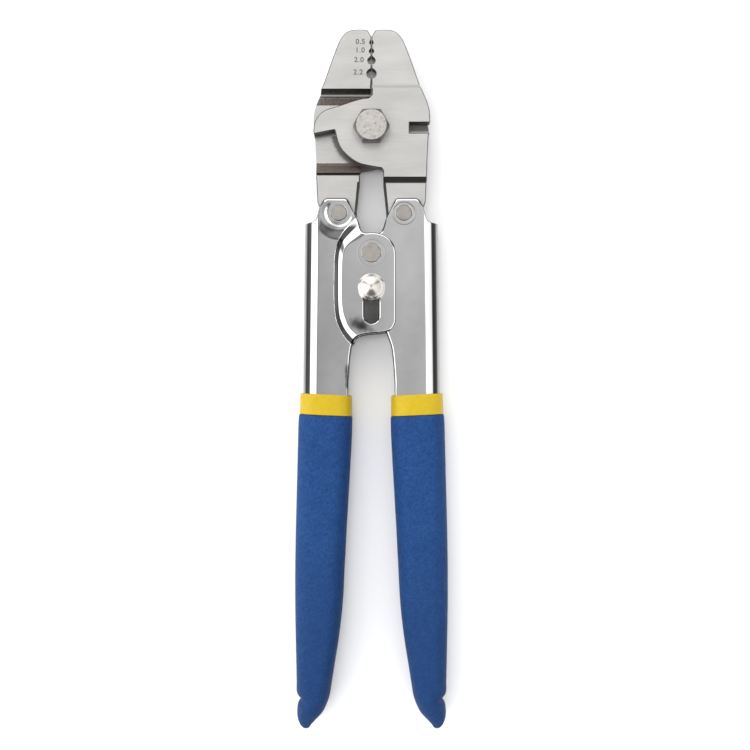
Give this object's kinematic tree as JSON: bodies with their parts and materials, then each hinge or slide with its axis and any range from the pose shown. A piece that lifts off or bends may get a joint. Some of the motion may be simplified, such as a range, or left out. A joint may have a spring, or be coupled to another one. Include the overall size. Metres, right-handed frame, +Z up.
{
  "type": "wire rope sleeve crimping tool",
  "caption": "Compound-leverage hand crimping pliers for wire rope sleeves: lap-jointed jaws with graded nests and side cutters, chromed channel handles, sliding latch, sleeved grips.",
  "frame": {"origin": "on the parting line of the jaws, halfway along the tool, in the plane that the tool lies on", "axes": "+Y from the grips to the jaw tips, +X to the right seen from the front, +Z up out of the front face, along the pivot axes"},
  "size_m": [0.056, 0.255, 0.0275],
  "materials": {
    "jaw_steel": "fine ground, satin, forging scale left in the recessed bands",
    "zinc": "mottled zinc plate",
    "handle_chrome": "mirror chrome plate",
    "knob_chrome": "polished chrome",
    "rivet_steel": "satin turned ends",
    "spring_steel": "oiled spring wire",
    "grip_blue": "matte soft vinyl with a fine grain",
    "grip_yellow": "satin gloss vinyl"
  },
  "bodies": {
    "left_handle_body": {"left_handle": "handle_chrome", "left_grip": "grip_blue", "left_grip_collar": "grip_yellow", "left_jaw_pin": "rivet_steel", "handle_pin": "rivet_steel", "spacer_bush": "rivet_steel", "return_spring": "spring_steel"},
    "right_handle_body": {"right_handle": "handle_chrome", "right_grip": "grip_blue", "right_grip_collar": "grip_yellow", "right_jaw_pin": "rivet_steel"},
    "left_jaw_body": {"left_jaw": "jaw_steel"},
    "right_jaw_body": {"right_jaw": "jaw_steel", "pivot_bolt": "zinc", "pivot_nut": "zinc", "pivot_lock_washer": "zinc"},
    "latch_body": {"latch_knob": "knob_chrome", "latch_wave_washer": "spring_steel", "latch_washer": "zinc", "latch_retainer": "zinc"}
  },
  "joints": [
    {"name": "handle_hinge", "type": "hinge", "parent": "left_handle_body", "child": "right_handle_body", "pos_m": [0, 0.0461, 0], "axis": [0, 0, 1], "range_deg": [0, 28], "deforming": ["return_spring"]},
    {"name": "left_jaw_pivot", "type": "hinge", "parent": "left_handle_body", "child": "left_jaw_body", "pos_m": [-0.0118, 0.0608, 0], "axis": [0, 0, 1], "range_deg": [0, 21.07]},
    {"name": "right_jaw_pivot", "type": "hinge", "parent": "right_handle_body", "child": "right_jaw_body", "pos_m": [0.0118, 0.0608, 0], "axis": [0, 0, 1], "range_deg": [-21.07, 0]},
    {"name": "latch_slide", "type": "slide", "parent": "left_handle_body", "child": "latch_body", "axis": [0, -1, 0], "range_m": [0, 0.0099]}
  ],
  "couplings": [
    {"joint": "left_jaw_pivot", "follows": "handle_hinge", "ratio": 0.74875},
    {"joint": "right_jaw_pivot", "follows": "handle_hinge", "ratio": -0.74875}
  ]
}
